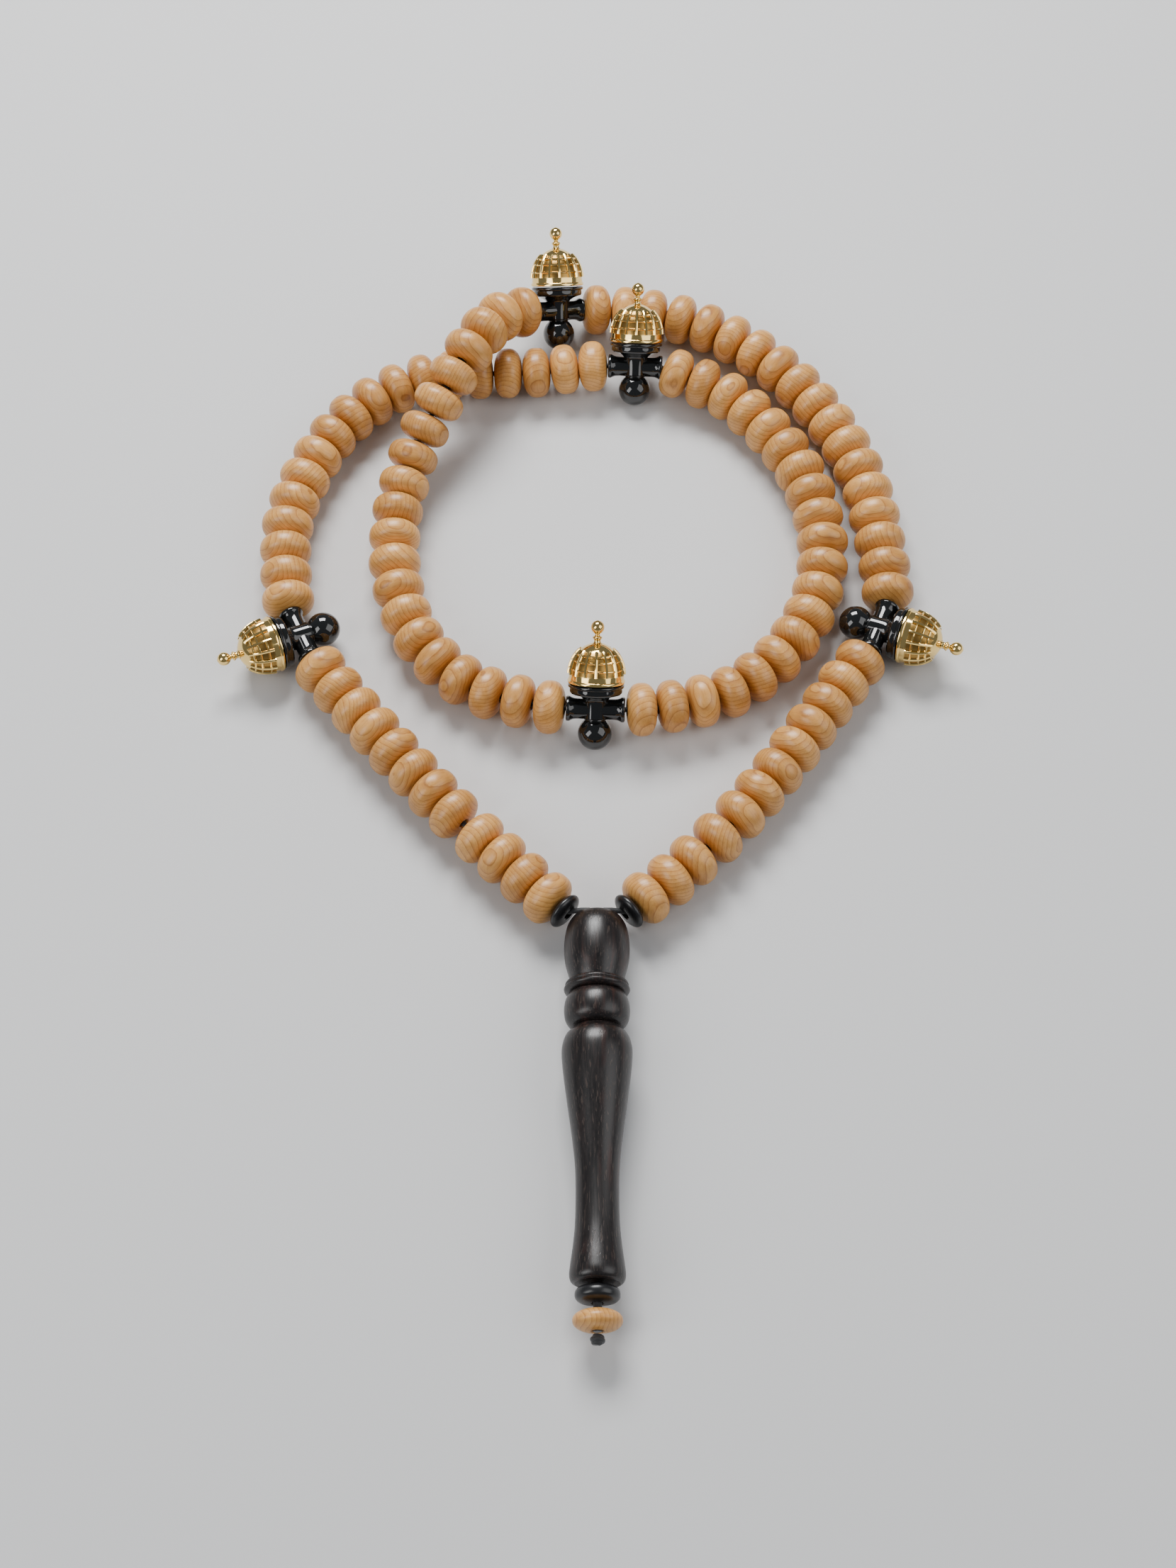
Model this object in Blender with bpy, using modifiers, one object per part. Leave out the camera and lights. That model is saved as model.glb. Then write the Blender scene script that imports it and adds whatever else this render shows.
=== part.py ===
"""Misbaha prayer beads laid out on a flat surface: a corded loop of beads coiled once, dome markers and a handle.

Run with: blender --background --python part.py
Metres, +Z up. The loop lies on z = 0, the handle points to -Y, and the box of the whole object is centred on x = y = 0.
"""

import math

import bmesh
import bpy
from mathutils import Matrix, Vector

MM = 0.001

# Driving sizes.
BEAD_DIAMETER = 12.3 * MM
BEAD_LENGTH = 6.6 * MM
BEAD_BORE = 2.5 * MM
CORD_DIAMETER = 1.2 * MM
TAIL_DIAMETER = 1.8 * MM
DISC_DIAMETER = 8.4 * MM
DISC_LENGTH = 2.6 * MM
DISC_BORE = 4.3 * MM
GAP = 0.45 * MM
BAR_HALF = 6.3 * MM
BAR_GAP = 0.9 * MM
BAR_BORE = 2.8 * MM

# Facets round a turned piece.
BEAD_SIDES = 10
RUN_SIDES = 8
MARKER_SIDES = 12
HANDLE_SIDES = 16

# The plan is drawn from under the handle's mouth. This is the middle of the foot of the whole object's box in it,
# a little under the beads' rims because tilted beads reach lower than level ones.
PLAN_CENTRE = Vector((-1.6, 42.4, -0.31)) * MM

# How far each bead of a counting strand sits from even spacing, to leave the slack that the cord has.
LEFT_SLACK = 1.5 * MM
RIGHT_SLACK = 1.6 * MM
SLACK_AFTER = 4

# Each marker: its middle, the heading and slope of the cord through it, and where its dome points.
MARKERS = {
    "left": {"middle": (-68.5, 71.1, 6.0), "cord": (115, 0), "dome": (205, 8)},
    "inner_top": {"middle": (9.8, 148.5, 7.7), "cord": (-2.5, 0), "dome": (90, 44)},
    "bottom": {"middle": (-0.2, 50.6, 7.6), "cord": (178, 0), "dome": (90, 42)},
    "top": {"middle": (-9.4, 164.8, 9.4), "cord": (21.5, -20), "dome": (97, 44)},
    "right": {"middle": (65.6, 73.1, 6.0), "cord": (247.5, 0), "dome": (337.5, 8)},
}

# The cord's way round, in millimetres from the handle's mouth: points of each strand, and the markers between.
LEFT_END = [(-0.8, -2.4, 7.45), (-0.8, -1.2, 7.45), (-1.5, 0.4, 7.4), (-3.7, 0.6, 6.95), (-6.95, 0.7, 6.4)]
RIGHT_END = [(6.95, 0.7, 6.4), (3.7, 0.6, 6.95), (1.5, 0.4, 7.4), (0.8, -1.2, 7.45), (0.8, -2.4, 7.45)]
STRANDS = [
    ("left", [(-11.0, 4.3, 6), (-21.2, 14.0, 6), (-32.0, 24.9, 6), (-43.8, 38.2, 6), (-54.9, 51.4, 6)]),
    (
        "outer_left",
        [(-73.0, 88.2, 6), (-73.4, 103.0, 6), (-69.9, 116.5, 6), (-63.8, 129.0, 6), (-54.6, 139.4, 6)]
        + [(-42.4, 146.0, 6), (-28.4, 147.6, 6), (-14.1, 147.9, 6.2), (-3.0, 148.9, 7.1)],
    ),
    (
        "inner_right",
        [(21.0, 146.4, 6.9), (31.0, 141.8, 6.1), (40.0, 132.8, 6), (48.2, 120.4, 6), (52.6, 106.6, 6)]
        + [(53.6, 92.6, 6), (50.0, 77.6, 6), (42.0, 65.2, 6), (30.2, 55.8, 6), (14.6, 51.1, 7.1)],
    ),
    (
        "inner_left",
        [(-14.0, 51.9, 7.1), (-29.2, 58.0, 6), (-40.8, 69.6, 6), (-46.6, 85.0, 6), (-47.8, 101.4, 6)]
        + [(-45.6, 115.5, 7.4), (-41.8, 125.6, 11.0), (-36.4, 134.6, 16.0), (-31.6, 143.0, 18.8)]
        + [(-27.4, 150.5, 18.7), (-22.4, 158.2, 15.8)],
    ),
    (
        "outer_right",
        [(6.6, 167.6, 6.0), (21.0, 165.0, 6), (34.6, 158.2, 6), (45.6, 148.9, 6), (54.0, 138.0, 6)]
        + [(60.9, 125.4, 6), (65.2, 112.5, 6), (67.2, 99.0, 6), (68.2, 87.2, 6)],
    ),
    ("right", [(59.0, 61.6, 6), (50.4, 49.2, 6), (39.4, 33.8, 6), (27.6, 19.6, 6), (16.4, 8.6, 6), (11.0, 4.3, 6)]),
]
BETWEEN = ["left", "inner_top", "bottom", "top", "right"]

# Beads in each strand, and how the ones that aren't modelled singly are grouped.
SINGLE_BEADS = {"left": 12, "right": 12}
BEAD_RUNS = {
    "outer_left": [5, 4, 4, 5],
    "inner_right": [4, 4, 4, 4, 4],
    "inner_left": [4, 4, 4, 4, 4],
    "outer_right": [5, 4, 4, 5],
}

COLOURS = {
    "bead_wood": ((0.52, 0.27, 0.11), 0.45, 0.0),
    "ebony": ((0.030, 0.016, 0.012), 0.35, 0.0),
    "black_resin": ((0.010, 0.012, 0.011), 0.12, 0.0),
    "gold": ((0.83, 0.60, 0.22), 0.20, 1.0),
    "black_cord": ((0.012, 0.012, 0.013), 0.75, 0.0),
}


# ---------------------------------------------------------------- scene helpers


def clear_scene():
    for obj in list(bpy.data.objects):
        bpy.data.objects.remove(obj)


def make_collection(name, hidden):
    made = bpy.data.collections.new(name)
    bpy.context.scene.collection.children.link(made)
    made.hide_render = hidden
    return made


def make_material(name):
    colour, roughness, metallic = COLOURS[name]
    material = bpy.data.materials.new(name)
    material.use_nodes = True
    shader = material.node_tree.nodes["Principled BSDF"]
    shader.inputs["Base Color"].default_value = (*colour, 1.0)
    shader.inputs["Roughness"].default_value = roughness
    shader.inputs["Metallic"].default_value = metallic
    return material


def add_object(name, data, slot):
    """A piece of the object, with a material of its own."""
    obj = bpy.data.objects.new(name, data)
    pieces.objects.link(obj)
    data.materials.append(make_material(slot))
    obj.data.materials[0].name = f"{name}_{slot}"
    return obj


def add_cutter(name, data):
    obj = bpy.data.objects.new(name, data)
    cutters.objects.link(obj)
    obj.hide_render = True
    obj.display_type = "WIRE"
    return obj


def turn(obj, profile, sides, ring):
    """Turns a profile of (radius, height) about Z. A ring's profile closes on itself."""
    links = [(i, i + 1) for i in range(len(profile) - 1)]
    if ring:
        links.append((len(profile) - 1, 0))
    obj.data.from_pydata([(r, 0.0, z) for r, z in profile], links, [])
    screw = obj.modifiers.new("turn", "SCREW")
    screw.steps = screw.render_steps = sides
    screw.use_merge_vertices = True
    screw.merge_threshold = 0.00001
    screw.use_smooth_shade = False


def turned(name, slot, profile, sides, ring=True):
    obj = add_object(name, bpy.data.meshes.new(name), slot)
    turn(obj, profile, sides, ring)
    return obj


def place(obj, middle, along, upward, parent=None):
    """Stands obj with its Z along a direction, and its Y as near to upward as that allows."""
    z = along.normalized()
    x = upward.cross(z).normalized()
    y = z.cross(x)
    obj.parent = parent
    obj.matrix_basis = Matrix.Translation(middle) @ Matrix((x, y, z)).transposed().to_4x4()


def tube(name, points, radii, sides_setting, tilt=0.0):
    """A curve through the points, with a round bevel of these radii and filled caps."""
    curve = bpy.data.curves.new(name, "CURVE")
    curve.dimensions = "3D"
    curve.bevel_depth = max(radii)
    curve.bevel_resolution = sides_setting
    curve.use_fill_caps = True
    spline = curve.splines.new("POLY")
    spline.points.add(len(points) - 1)
    for point, place_at, radius in zip(spline.points, points, radii):
        point.co = (*place_at, 1.0)
        point.radius = radius / max(radii)
        point.tilt = tilt
    return curve


def mesh_of_curve(curve):
    """The curve's evaluated shape as a mesh, with its caps welded on."""
    helper = bpy.data.objects.new("helper", curve)
    cutters.objects.link(helper)
    mesh = bpy.data.meshes.new_from_object(helper.evaluated_get(bpy.context.evaluated_depsgraph_get()))
    bpy.data.objects.remove(helper)
    shape = bmesh.new()
    shape.from_mesh(mesh)
    bmesh.ops.remove_doubles(shape, verts=shape.verts, dist=0.000005)
    bmesh.ops.recalc_face_normals(shape, faces=shape.faces)
    shape.to_mesh(mesh)
    shape.free()
    mesh.materials.clear()
    return mesh


def boolean(obj, other, operation):
    modifier = obj.modifiers.new(operation.lower(), "BOOLEAN")
    modifier.object = other
    modifier.operation = operation


def apothem(radius, sides):
    """The corner radius of a polygon whose flats are at this radius."""
    return radius / math.cos(math.pi / sides)


# ---------------------------------------------------------------- the cord's way


def direction(heading, slope):
    """A unit vector from a compass heading in the plan, from +X, and a slope, in degrees."""
    h, s = math.radians(heading), math.radians(slope)
    return Vector((math.cos(h) * math.cos(s), math.sin(h) * math.cos(s), math.sin(s)))


def in_frame(point):
    return Vector(point) * MM - PLAN_CENTRE


class Route:
    """A smooth curve through hand-placed points, read by the distance along it."""

    STEPS = 24

    def __init__(self):
        self.knots = [in_frame(p) for p in LEFT_END]
        self.marker_knots = {}
        for i, (_, points) in enumerate(STRANDS):
            self.knots += [in_frame(p) for p in points]
            if i < len(BETWEEN):
                self.add_marker(BETWEEN[i])
        self.knots += [in_frame(p) for p in RIGHT_END]
        self.disc_knots = (len(LEFT_END) - 1, len(self.knots) - len(RIGHT_END))
        self.trace()

    def add_marker(self, name):
        spec = MARKERS[name]
        middle, along = in_frame(spec["middle"]), direction(*spec["cord"])
        self.knots += [middle - along * BAR_HALF, middle, middle + along * BAR_HALF]
        self.marker_knots[name] = len(self.knots) - 2

    def trace(self):
        """Samples a Hermite curve whose slopes come from the neighbouring points, and measures it."""
        k = self.knots
        at = [0.0]
        for a, b in zip(k, k[1:]):
            at.append(at[-1] + (b - a).length)
        slopes = [(k[1] - k[0]) / at[1]]
        slopes += [(k[i + 1] - k[i - 1]) / (at[i + 1] - at[i - 1]) for i in range(1, len(k) - 1)]
        slopes.append((k[-1] - k[-2]) / (at[-1] - at[-2]))
        self.points, self.knot_distance = [k[0]], [0.0]
        for i in range(len(k) - 1):
            span = at[i + 1] - at[i]
            for step in range(1, self.STEPS + 1):
                t = step / self.STEPS
                self.points.append(
                    k[i] * (2 * t**3 - 3 * t**2 + 1)
                    + slopes[i] * span * (t**3 - 2 * t**2 + t)
                    + k[i + 1] * (3 * t**2 - 2 * t**3)
                    + slopes[i + 1] * span * (t**3 - t**2)
                )
        self.distances = [0.0]
        for a, b in zip(self.points, self.points[1:]):
            self.distances.append(self.distances[-1] + (b - a).length)
        self.knot_distance = self.distances[:: self.STEPS]
        self.length = self.distances[-1]

    def point(self, distance):
        distance = min(max(distance, 0.0), self.length)
        low, high = 0, len(self.distances) - 1
        while high - low > 1:
            middle = (low + high) // 2
            if self.distances[middle] <= distance:
                low = middle
            else:
                high = middle
        share = (distance - self.distances[low]) / (self.distances[high] - self.distances[low])
        return self.points[low].lerp(self.points[high], share)

    def along(self, distance):
        """The cord's direction over about a bead's length round this distance."""
        reach = BEAD_LENGTH * 0.4
        return (self.point(distance + reach) - self.point(distance - reach)).normalized()


def strand_distances(route):
    """Each strand's bead middles, as distances along the route from the handle's left side."""
    beside_disc = DISC_LENGTH / 2 + GAP + BEAD_LENGTH / 2
    beside_marker = BAR_HALF + BAR_GAP + BEAD_LENGTH / 2
    stops = [route.knot_distance[route.disc_knots[0]]]
    stops += [route.knot_distance[route.marker_knots[name]] for name in BETWEEN]
    stops.append(route.knot_distance[route.disc_knots[1]])
    found = {}
    for i, (name, _) in enumerate(STRANDS):
        count = SINGLE_BEADS.get(name) or sum(BEAD_RUNS[name])
        first = stops[i] + (beside_disc if i == 0 else beside_marker)
        last = stops[i + 1] - (beside_disc if i == len(STRANDS) - 1 else beside_marker)
        slack = {"left": LEFT_SLACK, "right": RIGHT_SLACK}.get(name, 0.0)
        pitch = (last - first - slack) / (count - 1)
        found[name] = [first + pitch * n for n in range(count)]
        if name == "left":
            found[name] = [d + (slack if n >= SLACK_AFTER else 0.0) for n, d in enumerate(found[name])]
        if name == "right":
            back = count - SLACK_AFTER
            shifts = [0.0 if n < back else slack / 2 if n == back else slack for n in range(count)]
            found[name] = [d + shift for d, shift in zip(found[name], shifts)]
    return found


# ---------------------------------------------------------------- pieces

# A bead's outline from its bore to its rim, as shares of its half length and radius, out of which both halves are made.
BEAD_OUTLINE = [(1.0, 0.36), (0.74, 0.82), (0.28, 1.0)]


def bead_profile():
    """Down the outside from the top of the bore, then the bore's foot closes it."""
    half, rim, bore = BEAD_LENGTH / 2, apothem(BEAD_DIAMETER / 2, BEAD_SIDES), apothem(BEAD_BORE / 2, BEAD_SIDES)
    upper = [(rim * r, half * z) for z, r in BEAD_OUTLINE]
    return [(bore, half)] + upper + [(r, -z) for r, z in reversed(upper)] + [(bore, -half)]


def add_bead(name, middle, along):
    bead = turned(name, "bead_wood", bead_profile(), BEAD_SIDES)
    place(bead, middle, along, Vector((0, 0, 1)))
    return bead


# One bead of a run: distance from its middle as a share of its half length, and radius as a share of its rim.
RUN_OUTLINE = [(-1.0, 0.34), (-0.45, 1.0), (0.45, 1.0), (1.0, 0.34)]


def add_bead_run(name, route, distances, bore_cutter):
    """Neighbouring beads as one solid, on the cord's bore."""
    points, radii = [], []
    rim = apothem(BEAD_DIAMETER / 2, RUN_SIDES)
    for distance in distances:
        middle, along = route.point(distance), route.along(distance)
        for reach, radius in RUN_OUTLINE:
            points.append(middle + along * reach * BEAD_LENGTH / 2)
            radii.append(rim * radius)
    curve = tube(name + "_path", points, radii, 2, math.pi / RUN_SIDES)
    obj = add_object(name, mesh_of_curve(curve), "bead_wood")
    boolean(obj, bore_cutter, "DIFFERENCE")
    return obj


def add_bore_cutter(route):
    """A tube a little wider than the cord, along the whole loop."""
    start = route.knot_distance[route.marker_knots["left"]]
    end = route.knot_distance[route.marker_knots["right"]]
    count = round((end - start) / BEAD_LENGTH)
    points = [route.point(start + (end - start) * i / count) for i in range(count + 1)]
    mesh = mesh_of_curve(tube("bore_path", points, [apothem(BEAD_BORE / 2, 8)] * len(points), 2))
    return add_cutter("bead_bore_cutter", mesh)


def add_cord(route):
    """The loop's cord. Its points come closer together where it turns sharply into the handle's mouth."""
    left, right = (route.knot_distance[k] for k in route.disc_knots)
    count = 104
    distances = [left * i / 8 for i in range(8)]
    distances += [left + (right - left) * i / count for i in range(count + 1)]
    distances += [right + (route.length - right) * i / 8 for i in range(1, 9)]
    points = [route.point(d) for d in distances]
    curve = tube("cord_loop", points, [CORD_DIAMETER / 2] * len(points), 2)
    return add_object("cord_loop", curve, "black_cord")


def add_disc(name, middle, along):
    """A thin spacer with a rounded rim, and a wide bore because the cord bends in it."""
    half, rim, bore = DISC_LENGTH / 2, DISC_DIAMETER / 2, DISC_BORE / 2
    profile = [(bore, half), (rim * 0.78, half), (rim, half * 0.4)]
    profile += [(r, -z) for r, z in reversed(profile)]
    disc = turned(name, "black_resin", profile, MARKER_SIDES)
    place(disc, middle, along, Vector((0, 0, 1)))
    return disc


# The marker's turned body: height along the dome's axis from the cord, and radius, in millimetres, from the top.
STUD_RADIUS, STUD_TOP = 2.2, 8.2
SEAT = 5.85
MARKER_BODY = [(STUD_TOP, 0.0), (STUD_TOP, STUD_RADIUS), (SEAT, STUD_RADIUS), (SEAT, 6.3), (4.8, 6.4)]
MARKER_BODY += [(3.8, 5.7), (3.1, 3.4), (2.2, 2.8), (-2.2, 2.8), (-2.5, 2.4)]
BALL_MIDDLE, BALL_RADIUS, BALL_NECK = -5.5, 3.6, 42
CAP_OUTLINE = [(6.9, 6.5), (7.1, 6.2), (8.6, 6.2), (11.0, 5.75), (13.0, 4.45), (14.3, 2.9), (15.2, 1.0)]
CAP_FINIAL = [(15.7, 0.75)]
FINIAL_BALL_MIDDLE, FINIAL_BALL_RADIUS = 18.9, 1.4


def arc_of_ball(middle, radius, start, end, count):
    """Points of a ball's outline between two angles from its top, in degrees."""
    angles = [math.radians(start + (end - start) * i / count) for i in range(count + 1)]
    return [(middle + radius * math.cos(a), radius * math.sin(a)) for a in angles]


def scaled(outline):
    """An outline of (height, radius) in millimetres as a profile of (radius, height) in metres."""
    return [(max(r, 0.0) * MM, z * MM) for z, r in outline]


def add_marker(name, spec):
    """The resin body with its cross bar and ball, and the gilt dome on its stud, on an empty at the cord's axis."""
    along = direction(*spec["cord"])
    lean = direction(*spec["dome"])
    up = (lean - along * lean.dot(along)).normalized()
    hub = bpy.data.objects.new(f"marker_{name}_hub", None)
    pieces.objects.link(hub)
    hub.empty_display_size = 0.01
    place(hub, in_frame(spec["middle"]), up, along)

    ball = arc_of_ball(BALL_MIDDLE, BALL_RADIUS, BALL_NECK, 180, 5)
    ball[-1] = (BALL_MIDDLE - BALL_RADIUS, 0.0)
    body = turned(f"marker_{name}_body", "black_resin", scaled(MARKER_BODY + ball), MARKER_SIDES, ring=False)
    body.parent = hub

    reach = BAR_HALF
    bar = add_cutter(f"marker_{name}_bar", bpy.data.meshes.new(f"marker_{name}_bar"))
    outline = [(0.0, reach), (3.0 * MM, reach), (3.0 * MM, reach - 0.9 * MM), (2.3 * MM, reach - 1.8 * MM)]
    outline += [(r, -z) for r, z in reversed(outline)]
    turn(bar, outline, MARKER_SIDES, ring=False)
    place(bar, Vector(), Vector((0, 1, 0)), Vector((0, 0, 1)), hub)

    bore = add_cutter(f"marker_{name}_bore", bpy.data.meshes.new(f"marker_{name}_bore"))
    radius, length = apothem(BAR_BORE / 2, MARKER_SIDES), reach + MM
    turn(bore, [(0.0, length), (radius, length), (radius, -length), (0.0, -length)], MARKER_SIDES, ring=False)
    place(bore, Vector(), Vector((0, 1, 0)), Vector((0, 0, 1)), hub)
    boolean(body, bar, "UNION")
    boolean(body, bore, "DIFFERENCE")

    finial = CAP_FINIAL + arc_of_ball(FINIAL_BALL_MIDDLE, FINIAL_BALL_RADIUS, 150, 0, 3)
    finial[-1] = (FINIAL_BALL_MIDDLE + FINIAL_BALL_RADIUS, 0.0)
    seat = SEAT + 0.15
    socket = [(seat, 6.5), (seat, STUD_RADIUS + 0.3), (STUD_TOP + 0.3, STUD_RADIUS + 0.3), (STUD_TOP + 0.3, 0.0)]
    outline = list(reversed(finial)) + list(reversed(CAP_OUTLINE)) + socket
    cap = turned(f"marker_{name}_cap", "gold", scaled(outline), MARKER_SIDES, ring=False)
    cap.parent = hub
    return hub


# The handle's outline from its mouth down: depth and radius in millimetres. It lies on its widest place.
HANDLE_RADIUS = 7.45
HANDLE_OUTLINE = [
    *[(0.9, 3.4), (1.2, 4.3), (2.2, 5.5), (3.8, 6.35), (6.2, 6.85), (9.0, 7.05), (12.0, 6.8), (15.0, 6.1)],
    *[(16.5, 5.6), (16.9, 6.6), (17.8, 7.05), (18.7, 6.7), (19.3, 6.0)],
    *[(20.2, 6.3), (21.6, 6.85), (23.4, 7.0), (25.2, 6.7), (26.5, 5.8), (27.1, 4.9)],
    *[(27.7, 5.5), (28.8, 6.6), (30.6, 7.2), (31.8, HANDLE_RADIUS), (34.2, HANDLE_RADIUS), (38.0, 7.0)],
    *[(44.7, 6.1), (52.0, 5.1), (58.7, 4.5), (67.8, 4.5), (73.0, 4.9), (77.5, 5.5), (80.0, 5.7), (81.4, 4.8)],
]
HANDLE_BORE, MOUTH_RADIUS, MOUTH_DEPTH = 1.4, 2.4, 3.6
COLLAR_TOP, COLLAR_FOOT, COLLAR_RADIUS = 81.8, 85.3, 4.6
END_BEAD_TOP, END_BEAD_LENGTH, END_BEAD_RADIUS = 86.5, 4.4, 5.05
KNOT_TOP, KNOT_LENGTH, KNOT_RADIUS = 91.2, 2.6, 1.7
TAIL_TOP, TAIL_BORE = 2.9, 1.2


def hanging(outline):
    """An outline of (depth, radius) in millimetres as a profile whose top is at its origin's mouth."""
    return [(r * MM, -depth * MM) for depth, r in outline]


def add_handle():
    """The turned handle and what the cord's tail holds under it. Every piece's origin is on the handle's axis."""
    mouth = in_frame((0.0, 0.0, HANDLE_RADIUS))
    away, upward = Vector((0, 1, 0)), Vector((0, 0, 1))
    top, foot = HANDLE_OUTLINE[0][0], HANDLE_OUTLINE[-1][0]
    bore = [(foot, HANDLE_BORE), (MOUTH_DEPTH, HANDLE_BORE), (MOUTH_DEPTH, MOUTH_RADIUS), (top, MOUTH_RADIUS)]
    widest = apothem(1.0, HANDLE_SIDES)
    outer = [(depth, r * widest) for depth, r in HANDLE_OUTLINE]
    place(turned("handle", "ebony", hanging(outer + bore), HANDLE_SIDES), mouth, away, upward)

    middle, edge = (COLLAR_TOP + COLLAR_FOOT) / 2, 0.8
    collar = [(COLLAR_TOP, TAIL_BORE), (COLLAR_TOP, COLLAR_RADIUS - edge), (middle - 0.6, COLLAR_RADIUS)]
    collar += [(2 * middle - depth, r) for depth, r in reversed(collar)]
    place(turned("end_spacer", "black_resin", hanging(collar), MARKER_SIDES), mouth, away, upward)

    end = END_BEAD_TOP + END_BEAD_LENGTH / 2
    outline = [(end - z * END_BEAD_LENGTH / 2, r * END_BEAD_RADIUS) for z, r in BEAD_OUTLINE]
    half = [(END_BEAD_TOP, TAIL_BORE)] + outline
    profile = half + [(2 * end - depth, r) for depth, r in reversed(half)]
    place(turned("end_bead", "bead_wood", hanging(profile), BEAD_SIDES), mouth, away, upward)

    bottom = KNOT_TOP + KNOT_LENGTH
    knot = [(KNOT_TOP, 0.0), (KNOT_TOP, 1.3), (KNOT_TOP + 0.8, KNOT_RADIUS), (bottom - 0.8, KNOT_RADIUS)]
    knot += [(bottom, 1.1), (bottom, 0.0)]
    place(turned("end_knot", "black_cord", hanging(knot), MARKER_SIDES, ring=False), mouth, away, upward)

    radius, tail_end = TAIL_DIAMETER / 2, (KNOT_TOP - 0.3) * MM
    start = mouth - away * TAIL_TOP * MM
    curve = tube("tail_cord", [start, mouth - away * tail_end], [radius] * 2, 2)
    add_object("tail_cord", curve, "black_cord")


def build():
    """Makes every piece, and returns where the turning ones are: name to (middle, direction of the bore)."""
    route = Route()
    turning = {}
    add_cord(route)
    distances = strand_distances(route)
    for name, knot, beside in zip(
        ("spacer_left", "spacer_right"), route.disc_knots, (distances["left"][0], distances["right"][-1])
    ):
        middle = route.point(route.knot_distance[knot])
        toward = (route.point(beside) - middle).normalized()
        heading = route.along(beside)
        heading *= -1.0 if heading.dot(toward) < 0 else 1.0
        turning[name] = (middle, (heading + 0.5 * toward).normalized())
        add_disc(name, *turning[name])
    for strand in SINGLE_BEADS:
        from_handle = distances[strand] if strand == "left" else list(reversed(distances[strand]))
        for number, distance in enumerate(from_handle, 1):
            name = f"{strand}_bead_{number:02d}"
            turning[name] = (route.point(distance), route.along(distance))
            add_bead(name, *turning[name])
    bore_cutter = add_bore_cutter(route)
    for strand, sizes in BEAD_RUNS.items():
        first = 0
        for number, size in enumerate(sizes, 1):
            add_bead_run(f"{strand}_run_{number}", route, distances[strand][first : first + size], bore_cutter)
            first += size
    for name, spec in MARKERS.items():
        add_marker(name, spec)
    add_handle()
    return route, distances, turning


clear_scene()
pieces = make_collection("misbaha", hidden=False)
cutters = make_collection("cutters", hidden=True)
route, distances, turning = build()
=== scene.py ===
"""How a string of misbaha prayer beads looks: wooden beads, gilt domes on black resin and an ebony handle.

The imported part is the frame. Metres, +Z up. The loop lies on z = 0 and the handle points to -Y.
"""

import math
import random

import bmesh
import bpy
from mathutils import Matrix, Vector


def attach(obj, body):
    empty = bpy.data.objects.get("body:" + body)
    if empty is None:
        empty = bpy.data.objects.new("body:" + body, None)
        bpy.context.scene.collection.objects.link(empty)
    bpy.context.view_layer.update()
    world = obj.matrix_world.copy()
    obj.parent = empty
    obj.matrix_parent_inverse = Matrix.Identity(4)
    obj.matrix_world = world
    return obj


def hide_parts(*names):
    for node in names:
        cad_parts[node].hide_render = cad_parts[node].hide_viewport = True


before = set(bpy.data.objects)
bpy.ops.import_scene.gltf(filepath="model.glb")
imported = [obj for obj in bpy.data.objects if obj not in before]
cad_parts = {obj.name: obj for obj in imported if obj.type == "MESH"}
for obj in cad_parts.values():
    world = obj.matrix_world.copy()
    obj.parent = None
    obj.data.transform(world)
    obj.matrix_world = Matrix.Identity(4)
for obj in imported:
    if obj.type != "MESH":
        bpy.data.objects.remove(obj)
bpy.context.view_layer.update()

MM = 0.001
UP = Vector((0, 0, 1))

# Sizes that the looks share with the part.
BEAD_DIAMETER = 12.3 * MM
BEAD_LENGTH = 6.6 * MM
CORD_DIAMETER = 1.2 * MM
DISC_DIAMETER = 8.4 * MM
DISC_LENGTH = 2.6 * MM
GAP = 0.45 * MM
BAR_HALF = 6.3 * MM
BAR_GAP = 0.9 * MM
LEFT_SLACK = 1.5 * MM
RIGHT_SLACK = 1.6 * MM
SLACK_AFTER = 4

# A finished bead fills a little more of its place on the cord than the part's bead does, and so does a
# marker's bar. The beads and discs have finer bores than the part's. FINE_BORE is a radius, and the end
# pieces have it too, as in the part.
FULL_LENGTH = 7.0 * MM
BEAD_BORE = 2.3 * MM
BAR_EXTRA = 0.4 * MM
FINE_BORE = 1.2 * MM

# The plan is drawn in millimetres from under the handle's mouth. This is the frame's origin in it.
PLAN_CENTRE = Vector((-1.6, 42.4, -0.31)) * MM

# Each marker: its middle, the heading and slope of the cord through it, and where its dome points.
MARKERS = {
    "left": {"middle": (-68.5, 71.1, 6.0), "cord": (115, 0), "dome": (205, 8)},
    "inner_top": {"middle": (9.8, 148.5, 7.7), "cord": (-2.5, 0), "dome": (90, 44)},
    "bottom": {"middle": (-0.2, 50.6, 7.6), "cord": (178, 0), "dome": (90, 42)},
    "top": {"middle": (-9.4, 164.8, 9.4), "cord": (21.5, -20), "dome": (97, 44)},
    "right": {"middle": (65.6, 73.1, 6.0), "cord": (247.5, 0), "dome": (337.5, 8)},
}

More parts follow.
